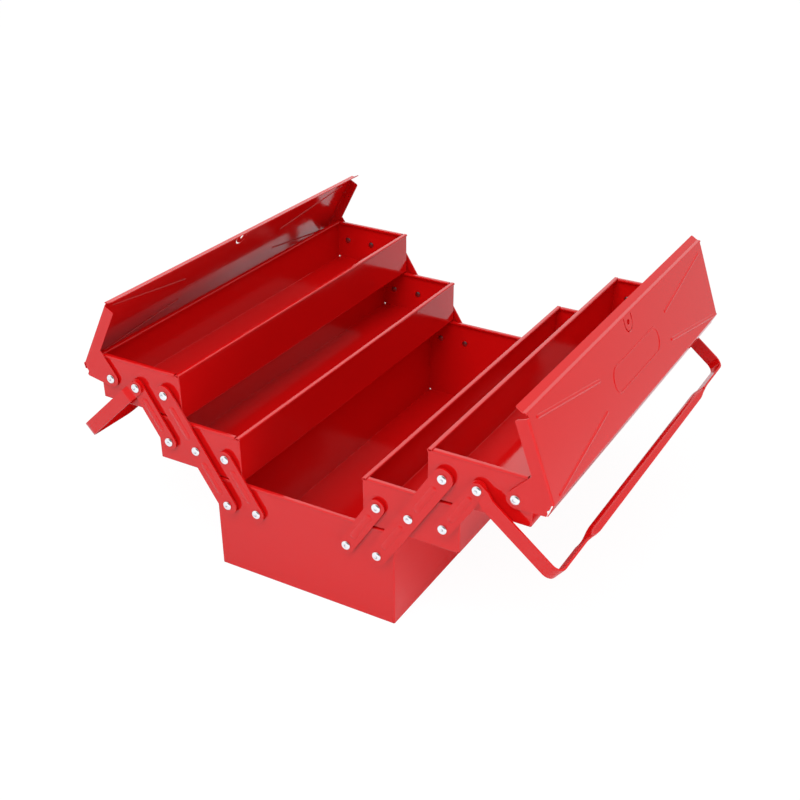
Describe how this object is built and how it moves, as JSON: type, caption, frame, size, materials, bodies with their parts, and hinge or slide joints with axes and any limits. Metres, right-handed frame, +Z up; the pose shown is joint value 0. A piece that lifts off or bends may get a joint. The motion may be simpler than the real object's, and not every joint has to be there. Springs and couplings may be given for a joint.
{
  "type": "cantilever tool box",
  "caption": "Steel tool box whose tray stages swing out on riveted side links to either side of a deep base tray, each side with its own hinged lid and bail handle.",
  "frame": {"origin": "middle of the base tray's flat underside", "axes": "+X along the box towards its right end as seen from the front, +Y across the box towards the rear side, +Z up"},
  "size_m": [0.4438, 0.5229, 0.263],
  "materials": {
    "red_enamel": "glossy baked enamel",
    "bright_nickel": "bright plated",
    "zinc_steel": "dull zinc"
  },
  "bodies": {
    "base": {"base_tray": "red_enamel", "base_rivets": "bright_nickel", "base_washers": "zinc_steel"},
    "front_middle_tray": {"front_middle_tray": "red_enamel", "front_middle_tray_rivets": "bright_nickel", "front_middle_tray_washers": "zinc_steel"},
    "front_upper_tray": {"front_upper_tray": "red_enamel", "front_upper_tray_rivets": "bright_nickel", "front_upper_tray_washers": "zinc_steel"},
    "front_long_links": {"front_left_long_link": "red_enamel", "front_right_long_link": "red_enamel"},
    "front_lower_links": {"front_left_lower_link": "red_enamel", "front_right_lower_link": "red_enamel"},
    "front_upper_links": {"front_left_upper_link": "red_enamel", "front_right_upper_link": "red_enamel"},
    "front_lid": {"front_lid": "red_enamel"},
    "front_handle": {"front_handle": "red_enamel"},
    "rear_middle_tray": {"rear_middle_tray": "red_enamel", "rear_middle_tray_rivets": "bright_nickel", "rear_middle_tray_washers": "zinc_steel"},
    "rear_upper_tray": {"rear_upper_tray": "red_enamel", "rear_upper_tray_rivets": "bright_nickel", "rear_upper_tray_washers": "zinc_steel"},
    "rear_long_links": {"rear_left_long_link": "red_enamel", "rear_right_long_link": "red_enamel"},
    "rear_lower_links": {"rear_left_lower_link": "red_enamel", "rear_right_lower_link": "red_enamel"},
    "rear_upper_links": {"rear_left_upper_link": "red_enamel", "rear_right_upper_link": "red_enamel"},
    "rear_lid": {"rear_lid": "red_enamel"},
    "rear_handle": {"rear_handle": "red_enamel"}
  },
  "joints": [
    {"name": "front_fold", "type": "hinge", "parent": "base", "child": "front_long_links", "pos_m": [0, -0.0835, 0.0754], "axis": [-1, 0, 0], "range_deg": [0, 65.3]},
    {"name": "front_lower_link_foot", "type": "hinge", "parent": "base", "child": "front_lower_links", "pos_m": [0, -0.0503, 0.0754], "axis": [-1, 0, 0], "range_deg": [0, 65.3]},
    {"name": "front_middle_tray_pivot", "type": "hinge", "parent": "front_long_links", "child": "front_middle_tray", "pos_m": [0, -0.11615, 0.12633], "axis": [-1, 0, 0], "range_deg": [-65.3, 0]},
    {"name": "front_upper_tray_pivot", "type": "hinge", "parent": "front_long_links", "child": "front_upper_tray", "pos_m": [0, -0.1488, 0.17727], "axis": [-1, 0, 0], "range_deg": [-65.3, 0]},
    {"name": "front_upper_link_foot", "type": "hinge", "parent": "front_middle_tray", "child": "front_upper_links", "pos_m": [0, -0.14935, 0.12633], "axis": [-1, 0, 0], "range_deg": [0, 65.3]},
    {"name": "front_lid_hinge", "type": "hinge", "parent": "front_upper_tray", "child": "front_lid", "pos_m": [0, -0.2152, 0.17727], "axis": [1, 0, 0], "range_deg": [-69.9, 40.1]},
    {"name": "front_handle_hinge", "type": "hinge", "parent": "front_upper_tray", "child": "front_handle", "pos_m": [0, -0.182, 0.17727], "axis": [-1, 0, 0], "range_deg": [-13.4, 154.6]},
    {"name": "rear_fold", "type": "hinge", "parent": "base", "child": "rear_long_links", "pos_m": [0, 0.0835, 0.0754], "axis": [1, 0, 0], "range_deg": [0, 65.3]},
    {"name": "rear_lower_link_foot", "type": "hinge", "parent": "base", "child": "rear_lower_links", "pos_m": [0, 0.0503, 0.0754], "axis": [1, 0, 0], "range_deg": [0, 65.3]},
    {"name": "rear_middle_tray_pivot", "type": "hinge", "parent": "rear_long_links", "child": "rear_middle_tray", "pos_m": [0, 0.11615, 0.12633], "axis": [1, 0, 0], "range_deg": [-65.3, 0]},
    {"name": "rear_upper_tray_pivot", "type": "hinge", "parent": "rear_long_links", "child": "rear_upper_tray", "pos_m": [0, 0.1488, 0.17727], "axis": [1, 0, 0], "range_deg": [-65.3, 0]},
    {"name": "rear_upper_link_foot", "type": "hinge", "parent": "rear_middle_tray", "child": "rear_upper_links", "pos_m": [0, 0.14935, 0.12633], "axis": [1, 0, 0], "range_deg": [0, 65.3]},
    {"name": "rear_lid_hinge", "type": "hinge", "parent": "rear_upper_tray", "child": "rear_lid", "pos_m": [0, 0.2152, 0.17727], "axis": [-1, 0, 0], "range_deg": [-62, 48]},
    {"name": "rear_handle_hinge", "type": "hinge", "parent": "rear_upper_tray", "child": "rear_handle", "pos_m": [0, 0.182, 0.17727], "axis": [1, 0, 0], "range_deg": [-8.6, 159.4]}
  ],
  "couplings": [
    {"joint": "front_lower_link_foot", "follows": "front_fold", "ratio": 1},
    {"joint": "front_middle_tray_pivot", "follows": "front_fold", "ratio": -1},
    {"joint": "front_upper_tray_pivot", "follows": "front_fold", "ratio": -1},
    {"joint": "front_upper_link_foot", "follows": "front_fold", "ratio": 1},
    {"joint": "rear_lower_link_foot", "follows": "rear_fold", "ratio": 1},
    {"joint": "rear_middle_tray_pivot", "follows": "rear_fold", "ratio": -1},
    {"joint": "rear_upper_tray_pivot", "follows": "rear_fold", "ratio": -1},
    {"joint": "rear_upper_link_foot", "follows": "rear_fold", "ratio": 1}
  ]
}
